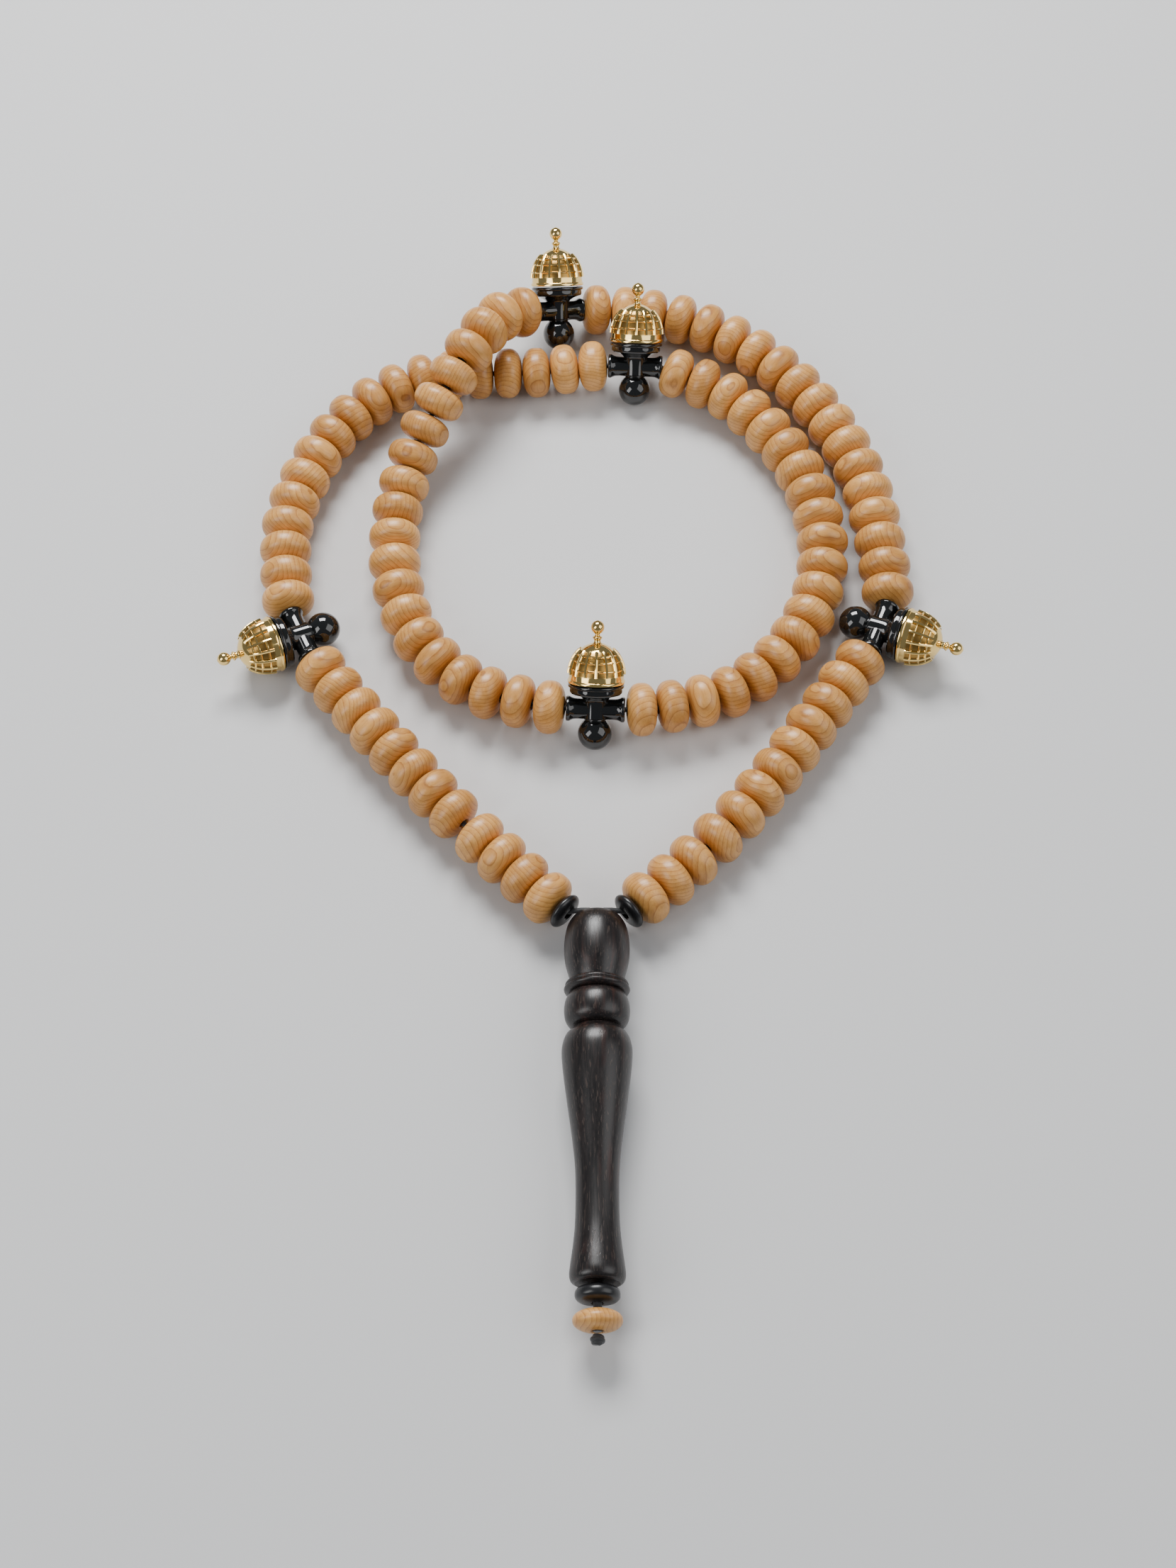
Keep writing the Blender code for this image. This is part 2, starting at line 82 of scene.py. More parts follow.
# The cord's way round, with the markers between the strands, as the part has it.
LEFT_END = [(-0.8, -2.4, 7.45), (-0.8, -1.2, 7.45), (-1.5, 0.4, 7.4), (-3.7, 0.6, 6.95), (-6.95, 0.7, 6.4)]
RIGHT_END = [(6.95, 0.7, 6.4), (3.7, 0.6, 6.95), (1.5, 0.4, 7.4), (0.8, -1.2, 7.45), (0.8, -2.4, 7.45)]
STRANDS = [
    ("left", [(-11.0, 4.3, 6), (-21.2, 14.0, 6), (-32.0, 24.9, 6), (-43.8, 38.2, 6), (-54.9, 51.4, 6)]),
    (
        "outer_left",
        [(-73.0, 88.2, 6), (-73.4, 103.0, 6), (-69.9, 116.5, 6), (-63.8, 129.0, 6), (-54.6, 139.4, 6)]
        + [(-42.4, 146.0, 6), (-28.4, 147.6, 6), (-14.1, 147.9, 6.2), (-3.0, 148.9, 7.1)],
    ),
    (
        "inner_right",
        [(21.0, 146.4, 6.9), (31.0, 141.8, 6.1), (40.0, 132.8, 6), (48.2, 120.4, 6), (52.6, 106.6, 6)]
        + [(53.6, 92.6, 6), (50.0, 77.6, 6), (42.0, 65.2, 6), (30.2, 55.8, 6), (14.6, 51.1, 7.1)],
    ),
    (
        "inner_left",
        [(-14.0, 51.9, 7.1), (-29.2, 58.0, 6), (-40.8, 69.6, 6), (-46.6, 85.0, 6), (-47.8, 101.4, 6)]
        + [(-45.6, 115.5, 7.4), (-41.8, 125.6, 11.0), (-36.4, 134.6, 16.0), (-31.6, 143.0, 18.8)]
        + [(-27.4, 150.5, 18.7), (-22.4, 158.2, 15.8)],
    ),
    (
        "outer_right",
        [(6.6, 167.6, 6.0), (21.0, 165.0, 6), (34.6, 158.2, 6), (45.6, 148.9, 6), (54.0, 138.0, 6)]
        + [(60.9, 125.4, 6), (65.2, 112.5, 6), (67.2, 99.0, 6), (68.2, 87.2, 6)],
    ),
    (
        "right",
        [(59.0, 61.6, 6), (50.4, 49.2, 6), (39.4, 33.8, 6), (27.6, 19.6, 6), (16.4, 8.6, 6), (11.0, 4.3, 6)],
    ),
]
BETWEEN = ["left", "inner_top", "bottom", "top", "right"]
SINGLE_BEADS = {"left": 12, "right": 12}
BEAD_RUNS = {
    "outer_left": [5, 4, 4, 5],
    "inner_right": [4, 4, 4, 4, 4],
    "inner_left": [4, 4, 4, 4, 4],
    "outer_right": [5, 4, 4, 5],
}

random.seed(33)


# ---------------------------------------------------------------- the cord's way


def direction(heading, slope):
    """A unit vector from a compass heading in the plan, from +X, and a slope, in degrees."""
    h, s = math.radians(heading), math.radians(slope)
    return Vector((math.cos(h) * math.cos(s), math.sin(h) * math.cos(s), math.sin(s)))


def in_frame(point):
    return Vector(point) * MM - PLAN_CENTRE


class Route:
    """A smooth curve through the route's points, read by the distance along it."""

    STEPS = 24

    def __init__(self):
        self.knots = [in_frame(p) for p in LEFT_END]
        self.marker_knots = {}
        for i, (_, points) in enumerate(STRANDS):
            self.knots += [in_frame(p) for p in points]
            if i < len(BETWEEN):
                self.add_marker(BETWEEN[i])
        self.knots += [in_frame(p) for p in RIGHT_END]
        self.disc_knots = (len(LEFT_END) - 1, len(self.knots) - len(RIGHT_END))
        self.trace()

    def add_marker(self, name):
        spec = MARKERS[name]
        middle, along = in_frame(spec["middle"]), direction(*spec["cord"])
        self.knots += [middle - along * BAR_HALF, middle, middle + along * BAR_HALF]
        self.marker_knots[name] = len(self.knots) - 2

    def trace(self):
        """Samples a Hermite curve whose slopes come from the neighbouring points, and measures it."""
        k = self.knots
        at = [0.0]
        for a, b in zip(k, k[1:]):
            at.append(at[-1] + (b - a).length)
        slopes = [(k[1] - k[0]) / at[1]]
        slopes += [(k[i + 1] - k[i - 1]) / (at[i + 1] - at[i - 1]) for i in range(1, len(k) - 1)]
        slopes.append((k[-1] - k[-2]) / (at[-1] - at[-2]))
        self.points = [k[0]]
        for i in range(len(k) - 1):
            span = at[i + 1] - at[i]
            for step in range(1, self.STEPS + 1):
                t = step / self.STEPS
                self.points.append(
                    k[i] * (2 * t**3 - 3 * t**2 + 1)
                    + slopes[i] * span * (t**3 - 2 * t**2 + t)
                    + k[i + 1] * (3 * t**2 - 2 * t**3)
                    + slopes[i + 1] * span * (t**3 - t**2)
                )
        self.distances = [0.0]
        for a, b in zip(self.points, self.points[1:]):
            self.distances.append(self.distances[-1] + (b - a).length)
        self.knot_distance = self.distances[:: self.STEPS]
        self.length = self.distances[-1]

    def point(self, distance):
        distance = min(max(distance, 0.0), self.length)
        low, high = 0, len(self.distances) - 1
        while high - low > 1:
            middle = (low + high) // 2
            if self.distances[middle] <= distance:
                low = middle
            else:
                high = middle
        share = (distance - self.distances[low]) / (self.distances[high] - self.distances[low])
        return self.points[low].lerp(self.points[high], share)

    def along(self, distance):
        """The cord's direction over about a bead's length round this distance."""
        reach = BEAD_LENGTH * 0.4
        return (self.point(distance + reach) - self.point(distance - reach)).normalized()


def strand_distances(route):
    """Each strand's bead middles, as distances along the route from the handle's left side."""
    beside_disc = DISC_LENGTH / 2 + GAP + BEAD_LENGTH / 2
    beside_marker = BAR_HALF + BAR_GAP + BEAD_LENGTH / 2
    stops = [route.knot_distance[route.disc_knots[0]]]
    stops += [route.knot_distance[route.marker_knots[name]] for name in BETWEEN]
    stops.append(route.knot_distance[route.disc_knots[1]])
    found = {}
    for i, (name, _) in enumerate(STRANDS):
        count = SINGLE_BEADS.get(name) or sum(BEAD_RUNS[name])
        first = stops[i] + (beside_disc if i == 0 else beside_marker)
        last = stops[i + 1] - (beside_disc if i == len(STRANDS) - 1 else beside_marker)
        slack = {"left": LEFT_SLACK, "right": RIGHT_SLACK}.get(name, 0.0)
        pitch = (last - first - slack) / (count - 1)
        found[name] = [first + pitch * n for n in range(count)]
        if name == "left":
            found[name] = [d + (slack if n >= SLACK_AFTER else 0.0) for n, d in enumerate(found[name])]
        if name == "right":
            back = count - SLACK_AFTER
            shifts = [0.0 if n < back else slack / 2 if n == back else slack for n in range(count)]
            found[name] = [d + shift for d, shift in zip(found[name], shifts)]
    return found


# ---------------------------------------------------------------- shapes


def add_object(name, data, material=None):
    obj = bpy.data.objects.new(name, data)
    bpy.context.scene.collection.objects.link(obj)
    if material and not data.materials:
        data.materials.append(material)
    return obj


def standing(middle, along, upward=UP):
    """A matrix that stands a piece's Z along a direction, with its Y as near to upward as that allows."""
    z = along.normalized()
    x = upward.cross(z).normalized()
    return Matrix.Translation(middle) @ Matrix((x, z.cross(x), z)).transposed().to_4x4()


def turned_mesh(name, profile, sides, closed=True, crease=40):
    """A mesh that a profile of (radius, height) sweeps about Z. A closed profile goes round a bore."""
    shape = bmesh.new()
    rings = []
    for r, z in profile:
        corners = [2 * math.pi * n / sides for n in range(sides)] if r > 1e-7 else [0.0]
        rings.append([shape.verts.new((r * math.cos(a), r * math.sin(a), z)) for a in corners])
    pairs = list(zip(rings, rings[1:])) + ([(rings[-1], rings[0])] if closed else [])
    for upper, lower in pairs:
        for n in range(sides):
            m = (n + 1) % sides
            corners = [lower[n % len(lower)], lower[m % len(lower)]]
            corners += [upper[m % len(upper)], upper[n % len(upper)]]
            face = list(dict.fromkeys(corners))
            if len(face) > 2:
                shape.faces.new(face)
    bmesh.ops.recalc_face_normals(shape, faces=shape.faces)
    mesh = bpy.data.meshes.new(name)
    shape.to_mesh(mesh)
    shape.free()
    mesh.shade_smooth()
    mesh.set_sharp_from_angle(angle=math.radians(crease))
    return mesh


def tube(name, points, radius, cyclic=False, sides=3, radii=None):
    """A round-bevelled curve through the points."""
    curve = bpy.data.curves.new(name, "CURVE")
    curve.dimensions = "3D"
    curve.bevel_depth = radius
    curve.bevel_resolution = sides
    curve.use_fill_caps = True
    spline = curve.splines.new("POLY")
    spline.points.add(len(points) - 1)
    for n, place_at in enumerate(points):
        spline.points[n].co = (*place_at, 1.0)
        spline.points[n].radius = radii[n] / radius if radii else 1.0
    spline.use_cyclic_u = cyclic
    spline.use_smooth = True
    return curve


def as_mesh(curve):
    helper = add_object("helper", curve)
    mesh = bpy.data.meshes.new_from_object(helper.evaluated_get(bpy.context.evaluated_depsgraph_get()))
    bpy.data.objects.remove(helper)
    return mesh


def joined(name, meshes):
    """Several meshes as one."""
    shape = bmesh.new()
    for mesh in meshes:
        shape.from_mesh(mesh)
    mesh = bpy.data.meshes.new(name)
    shape.to_mesh(mesh)
    shape.free()
    mesh.materials.clear()
    mesh.shade_smooth()
    mesh.set_sharp_from_angle(angle=math.radians(40))
    return mesh


def smooth_outline(points, steps=6):
    """A turned outline's points with a smooth curve through them. A point given twice keeps its corner."""
    runs, run = [], [points[0]]
    for a, b in zip(points, points[1:]):
        if a == b:
            runs.append(run)
            run = [b]
        else:
            run.append(b)
    runs.append(run)
    found = []
    for run in runs:
        if len(run) < 3:
            found += run
            continue
        p = [Vector(x) for x in run]
        p = [p[0] * 2 - p[1], *p, p[-1] * 2 - p[-2]]
        for i in range(1, len(p) - 2):
            for step in range(steps):
                t = step / steps
                found.append(catmull(p[i - 1], p[i], p[i + 1], p[i + 2], t))
        found.append(run[-1])
    return [tuple(x) for x in found]


def catmull(a, b, c, d, t):
    """A point of the Catmull-Rom curve between b and c."""
    return ((b * 2) + (c - a) * t + (a * 2 - b * 5 + c * 4 - d) * t**2 + (b * 3 - a - c * 3 + d) * t**3) / 2


# ---------------------------------------------------------------- materials


class Shader:
    """A material's node tree, with the few nodes that these finishes use."""

    def __init__(self, name, **values):
        self.material = bpy.data.materials.new(name)
        self.material.use_nodes = True
        self.nodes = self.material.node_tree.nodes
        self.links = self.material.node_tree.links
        self.surface = self.nodes["Principled BSDF"]
        for key, value in values.items():
            self.surface.inputs[key.replace("_", " ")].default_value = value

    def node(self, kind, inputs=None, **settings):
        made = self.nodes.new("ShaderNode" + kind)
        for key, value in settings.items():
            setattr(made, key, value)
        for key, value in (inputs or {}).items():
            if isinstance(value, bpy.types.NodeSocket):
                self.links.new(value, made.inputs[key])
            else:
                made.inputs[key].default_value = value
        return made

    def value(self, operation, a, b=0.0, c=0.0):
        return self.node("Math", {0: a, 1: b, 2: c}, operation=operation).outputs[0]

    def vector(self, operation, a, b=(0, 0, 0)):
        return self.node("VectorMath", {0: a, 1: b}, operation=operation).outputs[0]

    def noise(self, vector, scale, detail=3.0, roughness=0.55):
        inputs = {"Vector": vector, "Scale": scale, "Detail": detail, "Roughness": roughness}
        return self.node("TexNoise", inputs).outputs["Fac"]

    def ramp(self, value, stops):
        made = self.node("ValToRGB", {0: value})
        elements = made.color_ramp.elements
        while len(elements) < len(stops):
            elements.new(0.5)
        for element, (position, colour) in zip(elements, stops):
            element.position = position
            element.color = (*colour, 1.0)
        return made.outputs["Color"]

    def mix(self, share, a, b, blend="MIX"):
        made = self.node("Mix", data_type="RGBA", blend_type=blend)
        for socket, value in ((0, share), (6, a), (7, b)):
            if isinstance(value, bpy.types.NodeSocket):
                self.links.new(value, made.inputs[socket])
            elif socket:
                made.inputs[socket].default_value = (*value, 1.0)
            else:
                made.inputs[socket].default_value = value
        return made.outputs[2]

    def span(self, value, low, high):
        """A value's share of the way from low to high, kept between 0 and 1."""
        return self.node("MapRange", {0: value, 1: low, 2: high}).outputs[0]

    def use(self, name, socket):
        self.links.new(socket, self.surface.inputs[name])

    def bump(self, height, strength, distance):
        made = self.node("Bump", {"Height": height, "Strength": strength, "Distance": distance})
        self.use("Normal", made.outputs["Normal"])


def bead_wood():
    """Warm orange-brown wood whose growth rings cut each bead as fine, fairly straight darker lines."""
    s = Shader("bead_wood", Roughness=0.36)
    here = s.node("TexCoord").outputs["Object"]
    chance = s.node("ObjectInfo").outputs["Random"]
    shift = s.node("CombineXYZ", {0: s.value("MULTIPLY", chance, 0.7), 1: s.value("MULTIPLY", chance, 3.1)})
    moved = s.vector("ADD", here, shift.outputs[0])
    parts = s.node("SeparateXYZ", {0: here}).outputs
    sway = s.value("MULTIPLY", s.value("SUBTRACT", s.noise(moved, 130.0, 1.0), 0.5), 0.0022)
    wave = s.value("MULTIPLY", s.value("SUBTRACT", s.noise(moved, 700.0, 2.0), 0.5), 0.00022)
    tilt = s.value("MULTIPLY", parts["Z"], s.value("SUBTRACT", s.value("MULTIPLY", chance, 0.8), 0.4))
    bow = s.value("MULTIPLY", s.value("MULTIPLY", parts["Y"], parts["Y"]), 38.0)
    across = s.value("ADD", s.value("ADD", s.value("ADD", parts["X"], bow), tilt), s.value("ADD", sway, wave))
    across = s.value("ADD", across, s.value("MULTIPLY", chance, 0.05))
    growth = s.value("FRACT", s.value("MULTIPLY", chance, 17.0))
    spacing = s.value("ADD", s.value("MULTIPLY", growth, 0.00045), 0.00085)
    ring = s.value("FRACT", s.value("DIVIDE", across, spacing))
    grain = s.ramp(
        ring,
        [
            (0.0, (0.680, 0.360, 0.108)),
            (0.50, (0.655, 0.338, 0.096)),
            (0.82, (0.600, 0.292, 0.080)),
            (0.93, (0.430, 0.190, 0.050)),
            (1.0, (0.585, 0.283, 0.078)),
        ],
    )
    streaks = s.node("Mapping", {"Vector": moved, "Scale": (1.0, 0.12, 1.0)}).outputs[0]
    fibre = s.noise(streaks, 2600.0, 4.0, 0.6)
    pores = s.ramp(fibre, [(0.36, (0.62, 0.50, 0.38)), (0.52, (1.0, 1.0, 1.0))])
    wood = s.mix(0.30, grain, pores, "MULTIPLY")
    cloud = s.ramp(s.noise(moved, 260.0, 2.0), [(0.35, (0.86, 0.82, 0.76)), (0.65, (1.04, 1.04, 1.02))])
    wood = s.mix(1.0, wood, cloud, "MULTIPLY")
    shade = s.value("FRACT", s.value("MULTIPLY", chance, 7.0))
    tone = s.ramp(shade, [(0.0, (0.84, 0.79, 0.73)), (1.0, (1.08, 1.08, 1.08))])
    s.use("Base Color", s.mix(1.0, wood, tone, "MULTIPLY"))
    s.use("Roughness", s.value("ADD", s.value("MULTIPLY", fibre, 0.18), 0.25))
    s.bump(s.value("ADD", s.value("MULTIPLY", fibre, 0.6), s.value("MULTIPLY", ring, -0.2)), 0.22, 0.00005)
    return s.material


def ebony():
    """Near-black waxed wood with faint red-brown streaks and fine open pores along the handle."""
    s = Shader("ebony", Roughness=0.3)
    here = s.node("TexCoord").outputs["Object"]
    streaks = s.node("Mapping", {"Vector": here, "Scale": (1.0, 1.0, 0.05)}).outputs[0]
    coarse = s.noise(streaks, 520.0, 4.0, 0.6)
    fine = s.noise(streaks, 2600.0, 4.0, 0.65)
    pore = s.node("Mapping", {"Vector": here, "Scale": (1.0, 1.0, 0.11)}).outputs[0]
    pores = s.span(s.noise(pore, 3000.0, 1.0), 0.62, 0.68)
    cloud = s.noise(here, 70.0, 2.0)
    red = s.value("MULTIPLY", s.span(coarse, 0.52, 0.72), s.span(cloud, 0.42, 0.68))
    dark = s.mix(s.span(fine, 0.40, 0.72), (0.0045, 0.0035, 0.0035), (0.013, 0.0085, 0.0075))
    dark = s.mix(s.value("MULTIPLY", red, 0.7), dark, (0.045, 0.013, 0.008))
    s.use("Base Color", s.mix(s.value("MULTIPLY", pores, 0.45), dark, (0.070, 0.048, 0.038)))
    s.use("Roughness", s.value("ADD", s.value("MULTIPLY", fine, 0.20), 0.24))
    relief = s.value("SUBTRACT", s.value("MULTIPLY", fine, 0.8), s.value("MULTIPLY", pores, 0.8))
    s.bump(relief, 0.22, 0.00006)
    return s.material


def black_resin():
    s = Shader("black_resin", Base_Color=(0.006, 0.0065, 0.0065, 1), Roughness=0.07, Coat_Weight=0.4)
    return s.material


def black_horn():
    return Shader("black_horn", Base_Color=(0.010, 0.010, 0.011, 1), Roughness=0.3).material


def gold():
    """Polished gilding, with faint unevenness."""
    s = Shader("gold", Base_Color=(0.93, 0.66, 0.24, 1), Metallic=1.0)
    here = s.node("TexCoord").outputs["Object"]
    s.use("Roughness", s.value("ADD", s.value("MULTIPLY", s.noise(here, 900.0), 0.10), 0.07))
    return s.material


def painted_shade_gold():
    """The dome's gilding, coloured darker where its lattice stands over it as painted shade and a painted dark
    reflection, and rougher there.
    """
    s = Shader("painted_shade_gold", Metallic=1.0)
    here = s.node("TexCoord").outputs["Object"]
    height = s.node("SeparateXYZ", {0: here}).outputs["Z"]
    foot, top = DOME_FOOT + RIB_FOOT, DOME_FOOT + RIB_TOP
    above = s.span(height, (foot - 0.2) * MM, (foot + 0.2) * MM)
    below = s.span(height, (top + 0.1) * MM, (top - 0.3) * MM)
    recess = s.value("MULTIPLY", above, below)
    # The darker gold in the recess is painted shade and painted dark reflection, not a tint of the gilding
    # itself.
    s.use("Base Color", s.mix(recess, (0.93, 0.66, 0.24), (0.34, 0.20, 0.055)))
    s.use("Roughness", s.value("ADD", s.value("MULTIPLY", recess, 0.24), 0.09))
    return s.material


def black_cord():
    """Waxed black cord with its strands' twist."""
    s = Shader("black_cord", Base_Color=(0.014, 0.014, 0.015, 1), Roughness=0.62, Sheen_Weight=0.3)
    here = s.node("TexCoord").outputs["Object"]
    s.bump(s.noise(here, 2500.0), 0.4, 0.0001)
    return s.material


# ---------------------------------------------------------------- beads


def bead_profile(radius, half, bore, roundness=(2.4, 2.2), count=22):
    """A rounded rondelle: a superellipse from the bore's chamfered edge over the rim and back."""
    across, along = roundness
    chamfer = 0.25 * MM
    start = math.acos(min(1.0, ((bore + chamfer) / radius) ** (across / 2)))
    outline = []
    for n in range(count + 1):
        a = start - 2 * start * n / count
        z = half * math.copysign(abs(math.sin(a)) ** (2 / along), a)
        outline.append((radius * math.cos(a) ** (2 / across), z))
    top = outline[0][1] - chamfer
    return [(bore, top), *outline, (bore, -top)]


def make_bead(name, mesh, body, node, middle, along):
    """A finished bead in its place, spun to its own grain, standing for the part's bead."""
    bead = add_object(name, mesh)
    width, length = 1 + random.uniform(-0.012, 0.006), 1 + random.uniform(-0.02, 0.01)
    spin = Matrix.Rotation(random.uniform(0, 2 * math.pi), 4, "Z")
    bead.matrix_world = standing(middle, along) @ spin @ Matrix.Diagonal((width, width, length, 1))
    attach(bead, body)
    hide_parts(node)
    return bead


def make_beads(route, distances, material):
    profile = bead_profile(BEAD_DIAMETER / 2, FULL_LENGTH / 2, BEAD_BORE / 2, (2.7, 2.5))
    mesh = turned_mesh("bead", profile, 44)
    mesh.materials.append(material)
    for strand in SINGLE_BEADS:
        from_handle = distances[strand] if strand == "left" else list(reversed(distances[strand]))
        for number, distance in enumerate(from_handle, 1):
            node, name = f"{strand}_bead_{number:02d}", f"bead_{strand}_{number:02d}"
            make_bead(name, mesh, node, node, route.point(distance), route.along(distance))
    for strand, sizes in BEAD_RUNS.items():
        nodes = [f"{strand}_run_{run}" for run, size in enumerate(sizes, 1) for _ in range(size)]
        for number, (distance, node) in enumerate(zip(distances[strand], nodes), 1):
            name = f"bead_{strand}_{number:02d}"
            make_bead(name, mesh, "loop", node, route.point(distance), route.along(distance))


# ---------------------------------------------------------------- cords and spacers


def make_cord(route, material):
    """The loop's cord from the handle's mouth round to it again."""
    count = round(route.length / (1.6 * MM))
    points = [route.point(route.length * n / count) for n in range(count + 1)]
    cord = add_object("loop_cord", tube("loop_cord", points, CORD_DIAMETER / 2, sides=4), material)
    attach(cord, "loop")
    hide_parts("cord_loop")
    route.point(0.0)


def make_spacers(route, distances, material):
    """Thin round-rimmed discs where the cord enters the handle."""
    half, rim, bore = DISC_LENGTH / 2, DISC_DIAMETER / 2, FINE_BORE
    mesh = turned_mesh("spacer", bead_profile(rim, half, bore, (3.2, 2.0), 18), 56)
    mesh.materials.append(material)
    beside = {"left": distances["left"][0], "right": distances["right"][-1]}
    for side, knot in zip(("left", "right"), route.disc_knots):
        middle = route.point(route.knot_distance[knot])
        toward = (route.point(beside[side]) - middle).normalized()
        heading = route.along(beside[side])
        heading *= -1.0 if heading.dot(toward) < 0 else 1.0
        disc = add_object(f"disc_{side}", mesh)
        disc.matrix_world = standing(middle, heading + 0.5 * toward)
        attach(disc, f"spacer_{side}")
        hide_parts(f"spacer_{side}")


# ---------------------------------------------------------------- markers

# Heights along the dome's axis from the cord, and radii, in millimetres.
STEP_DISC = [
    *[(5.95, 0.0), (5.95, 6.2), (5.95, 6.2), (5.8, 6.4), (5.3, 6.4), (5.1, 6.2), (5.1, 6.2)],
    *[(5.0, 6.0), (5.0, 6.0), (4.1, 6.0), (3.7, 5.75), (3.7, 5.75), (3.4, 4.7), (2.9, 3.6), (2.3, 2.95)],
    *[(1.0, 2.8), (-1.9, 2.8), (-1.9, 2.8), (-2.1, 2.55), (-2.3, 2.6), (-2.45, 2.4), (-2.45, 2.4)],
]
BALL_MIDDLE, BALL_RADIUS, NECK_RADIUS = -5.6, 3.9, 2.4
DOME_FOOT, DOME_HEIGHT, DOME_RADIUS = 6.2, 9.1, 6.3
RIBS = 16
RING_HEIGHTS = (3.3, 5.15, 6.5)
RIB_FOOT, RIB_TOP = 2.0, 7.5


def dome_radius(height):
    """The dome's radius at a height over its foot, both in millimetres."""
    return DOME_RADIUS * max(0.0, 1 - (max(0.0, height) / DOME_HEIGHT) ** 2.6) ** 0.5556


def scaled(outline):
    """An outline of (height, radius) in millimetres as a profile of (radius, height) in metres."""
    return [(max(r, 0.0) * MM, z * MM) for z, r in outline]


def ball_outline(middle, radius, start, end, count):
    angles = [math.radians(start + (end - start) * n / count) for n in range(count + 1)]
    return [(middle + radius * math.cos(a), radius * math.sin(a)) for a in angles]


def marker_body_mesh():
    """The stepped disc, neck and ball, and the cross bar with its flared ends and the cord's bore."""
    neck_meets = math.degrees(math.asin(NECK_RADIUS / BALL_RADIUS))
    ball = ball_outline(BALL_MIDDLE, BALL_RADIUS, neck_meets, 180, 18)
    turned = turned_mesh("marker_turned", scaled(smooth_outline(STEP_DISC, 4) + ball), 64, closed=False)
    half = (BAR_HALF + BAR_EXTRA) / MM
    flare = [(half, 1.4), (half, 2.6), (half, 2.6), (half - 0.15, 2.85), (half - 0.7, 2.9), (half - 1.3, 2.6)]
    flare += [(half - 2.0, 2.4), (half - 3.4, 2.35), (0.0, 2.35)]
    outline = smooth_outline(flare, 4)
    outline += [(-z, r) for z, r in reversed(outline[:-1])]
    bar = turned_mesh("marker_bar", scaled(outline), 48)
    bar.transform(Matrix.Rotation(math.radians(90), 4, "X"))
    return joined("marker_body", [turned, bar])


def marker_cap_mesh():
    """The gilt flange, band and dome with its finial."""
    rises = [DOME_HEIGHT * math.sin(math.radians(a)) for a in range(14, 86, 3)]
    dome = [(DOME_FOOT + h, dome_radius(h)) for h in rises]
    flange = [(6.15, 5.6), (6.15, 6.3), (6.15, 6.3), (6.25, 6.5), (6.6, 6.55), (6.9, 6.45)]
    flange += [(7.0, 6.3), (7.0, 6.3)]
    finial = [
        *[(15.2, 1.1), (15.35, 0.85), (15.7, 0.75), (15.95, 0.78), (16.2, 1.0), (16.4, 1.1), (16.6, 1.05)],
        *[(16.75, 0.8), (16.75, 0.8), (16.9, 0.58), (17.1, 0.52), (17.3, 0.66), (17.5, 0.92)],
    ]
    ball = ball_outline(18.75, 1.55, 144, 20, 12) + [(20.3, 0.3), (20.4, 0.0)]
    outline = flange + dome + smooth_outline(finial, 4) + ball
    return turned_mesh("marker_cap", scaled([(6.15, 0.0)] + outline), 72, closed=False, crease=50)


def lattice_mesh():
    """The raised grid on the dome: ribs that stand past the top and bottom rings, and the rings."""
    parts = []
    proud = 0.10
    for n in range(RIBS):
        a = 2 * math.pi * n / RIBS
        heights = [RIB_FOOT + (RIB_TOP - RIB_FOOT) * k / 14 for k in range(15)]
        points = []
        for h in heights:
            r = dome_radius(h) + proud
            points.append(Vector((r * math.cos(a), r * math.sin(a), DOME_FOOT + h)) * MM)
        parts.append(as_mesh(tube("rib", points, 0.38 * MM, sides=2)))
    for h in RING_HEIGHTS:
        r = dome_radius(h) + proud
        turn = [2 * math.pi * n / 72 for n in range(72)]
        points = [Vector((r * math.cos(a), r * math.sin(a), DOME_FOOT + h)) * MM for a in turn]
        parts.append(as_mesh(tube("ring", points, 0.27 * MM, cyclic=True, sides=2)))
    return joined("marker_lattice", parts)


def make_markers(resin, gilt, painted_shade_gilt):
    body_mesh, cap_mesh, grid_mesh = marker_body_mesh(), marker_cap_mesh(), lattice_mesh()
    # The cap's gilding carries painted shade behind the lattice.
    body_mesh.materials.append(resin)
    cap_mesh.materials.append(painted_shade_gilt)
    grid_mesh.materials.append(gilt)
    for name, spec in MARKERS.items():
        along, lean = direction(*spec["cord"]), direction(*spec["dome"])
        up = (lean - along * lean.dot(along)).normalized()
        at = standing(in_frame(spec["middle"]), up, along)
        for piece, mesh, node, slot in (
            ("resin", body_mesh, f"marker_{name}_body", "black_resin"),
            ("dome", cap_mesh, f"marker_{name}_cap", "gold"),
            ("lattice", grid_mesh, None, "gold"),
        ):
            obj = add_object(f"{name}_{piece}", mesh)
            obj.matrix_world = at
            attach(obj, f"marker_{name}")
            if node:
                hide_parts(node)


# ---------------------------------------------------------------- handle

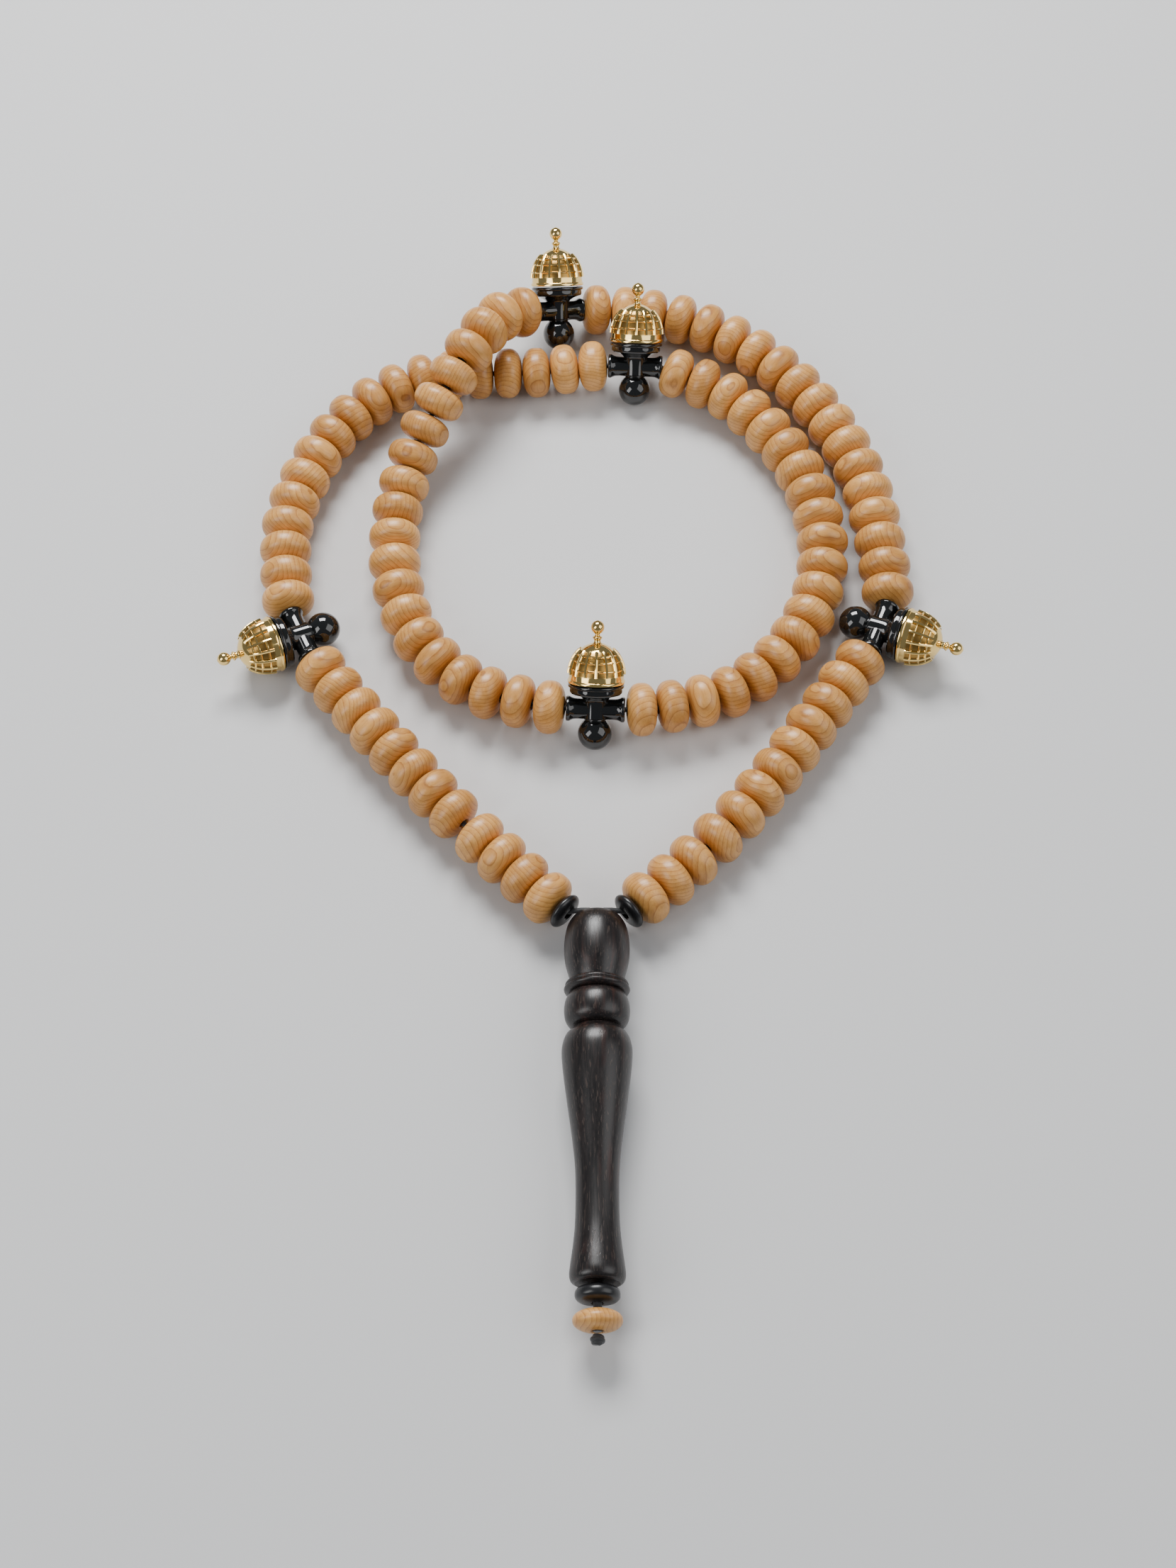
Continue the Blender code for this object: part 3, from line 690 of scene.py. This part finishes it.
HANDLE_RADIUS = 7.45
HANDLE_OUTLINE = [
    *[(0.9, 2.4), (0.9, 3.1), (1.0, 3.6), (1.25, 4.4), (1.25, 4.4), (1.1, 4.65), (1.35, 4.95), (1.35, 4.95)],
    *[(2.2, 5.6), (3.8, 6.4), (6.2, 6.9), (9.0, 7.05), (12.0, 6.8), (15.0, 6.05), (16.4, 5.6), (16.4, 5.6)],
    *[(16.6, 6.0), (16.9, 6.6), (17.3, 6.8), (17.6, 6.65), (17.6, 6.65), (17.8, 6.75)],
    *[(18.2, 7.05), (18.7, 6.85), (19.1, 6.3), (19.3, 5.75), (19.3, 5.75), (19.9, 6.25), (21.2, 6.8)],
    (23.2, 7.0),
    *[(25.2, 6.7), (26.5, 5.8), (27.0, 4.9), (27.0, 4.9), (27.6, 5.5), (28.8, 6.6), (30.6, 7.25), (33.0, 7.45)],
    *[(38.0, 7.0), (44.7, 6.1), (52.0, 5.1), (58.7, 4.5), (67.8, 4.5), (73.0, 4.9), (77.5, 5.5), (79.7, 5.7)],
    *[(80.9, 5.35), (81.4, 4.6), (81.4, 4.6), (81.4, 1.4)],
]
COLLAR_TOP, COLLAR_FOOT, COLLAR_RADIUS = 81.8, 85.3, 4.6
END_BEAD_TOP, END_BEAD_LENGTH, END_BEAD_RADIUS = 86.5, 4.4, 5.05
KNOT_TOP, KNOT_LENGTH = 91.2, 2.6


def hanging(outline):
    """An outline of (depth, radius) in millimetres as a profile whose top is at its origin's mouth."""
    return [(r * MM, -depth * MM) for depth, r in outline]


def make_handle(wood, horn, bead_material, cord_material):
    mouth = in_frame((0.0, 0.0, HANDLE_RADIUS))
    at = standing(mouth, Vector((0, 1, 0)))

    def place(name, mesh, material, node, body, where=at):
        obj = add_object(name, mesh, material)
        obj.matrix_world = where
        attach(obj, body)
        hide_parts(node)

    inner = [(81.4, 1.4), (3.6, 1.4), (3.6, 2.4), (0.9, 2.4)]
    outline = smooth_outline(HANDLE_OUTLINE, 6) + inner[1:-1]
    place("handle_wood", turned_mesh("handle_wood", hanging(outline), 96), wood, "handle", "handle")

    collar = bead_profile(COLLAR_RADIUS * MM, (COLLAR_FOOT - COLLAR_TOP) / 2 * MM, FINE_BORE, (3.4, 2.6), 20)
    middle = Matrix.Translation((0, 0, -(COLLAR_TOP + COLLAR_FOOT) / 2 * MM))
    mesh = turned_mesh("end_collar", collar, 64)
    mesh.transform(middle)
    place("end_collar", mesh, horn, "end_spacer", "end_spacer")

    end = bead_profile(END_BEAD_RADIUS * MM, END_BEAD_LENGTH / 2 * MM, FINE_BORE)
    mesh = turned_mesh("end_wood", end, 44)
    middle = at @ Matrix.Translation((0, 0, -(END_BEAD_TOP + END_BEAD_LENGTH / 2) * MM))
    place("end_wood", mesh, bead_material, "end_bead", "end_bead", middle)
    make_knot(at, cord_material)


def make_knot(at, material):
    """The tail's overhand knot: a coil of the cord drawn tight under the end bead."""
    points = []
    turns, count = 2.4, 110
    for n in range(count + 1):
        t = n / count
        a = 2 * math.pi * turns * t
        r = 0.95 * math.sin(math.pi * (0.16 + 0.68 * t))
        drop = KNOT_TOP + 0.62 + (KNOT_LENGTH - 1.24) * t
        points.append(Vector((r * math.cos(a), r * math.sin(a), -drop)) * MM)
    mesh = as_mesh(tube("knot", points, 0.6 * MM, sides=6))
    obj = add_object("tail_knot", joined("tail_knot", [mesh]), material)
    obj.matrix_world = at
    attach(obj, "tail")
    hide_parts("end_knot")
    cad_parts["tail_cord"].data.materials.clear()
    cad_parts["tail_cord"].data.materials.append(material)


# ---------------------------------------------------------------- studio

# Where the camera looks, how far it is and how steeply it looks down.
AIM = Vector((-0.0003, -0.0101, 0.006))
DISTANCE, ELEVATION = 0.495, math.radians(61.8)


def make_camera():
    data = bpy.data.cameras.new("camera")
    data.lens = 50.8
    data.clip_start = 0.01
    camera = add_object("camera", data)
    back = Vector((0, -math.cos(ELEVATION), math.sin(ELEVATION)))
    camera.location = AIM + back * DISTANCE
    camera.rotation_euler = (math.pi / 2 - ELEVATION, 0, 0)
    bpy.context.scene.camera = camera


def make_light(name, place_at, size, power, colour=(1, 1, 1)):
    data = bpy.data.lights.new(name, "AREA")
    data.shape = "RECTANGLE"
    data.size, data.size_y = size
    data.energy = power
    data.color = colour
    lamp = add_object(name, data)
    lamp.location = place_at
    lamp.rotation_euler = (AIM - lamp.location).to_track_quat("-Z", "Y").to_euler()


def make_studio():
    plane = bpy.data.meshes.new("floor")
    shape = bmesh.new()
    bmesh.ops.create_grid(shape, x_segments=1, y_segments=1, size=2.0)
    shape.to_mesh(plane)
    shape.free()
    pale = Shader("floor", Base_Color=(0.62, 0.62, 0.62, 1), Roughness=0.8).material
    floor = add_object("floor", plane, pale)
    world = bpy.data.worlds.new("studio")
    world.use_nodes = True
    world.node_tree.nodes["Background"].inputs["Color"].default_value = (0.8, 0.86, 0.95, 1)
    world.node_tree.nodes["Background"].inputs["Strength"].default_value = 0.22
    bpy.context.scene.world = world
    make_light("key", (-0.10, 0.52, 0.62), (0.45, 0.30), 10.0)
    make_light("fill", (0.55, -0.15, 0.5), (0.6, 0.6), 2.4)
    make_light("rim", (-0.5, -0.3, 0.45), (0.3, 0.5), 2.2)


def main():
    make_camera()
    make_studio()
    route = Route()
    distances = strand_distances(route)
    wood, cord, horn = bead_wood(), black_cord(), black_horn()
    make_cord(route, cord)
    make_beads(route, distances, wood)
    make_spacers(route, distances, horn)
    make_markers(black_resin(), gold(), painted_shade_gold())
    make_handle(ebony(), horn, wood, cord)


main()
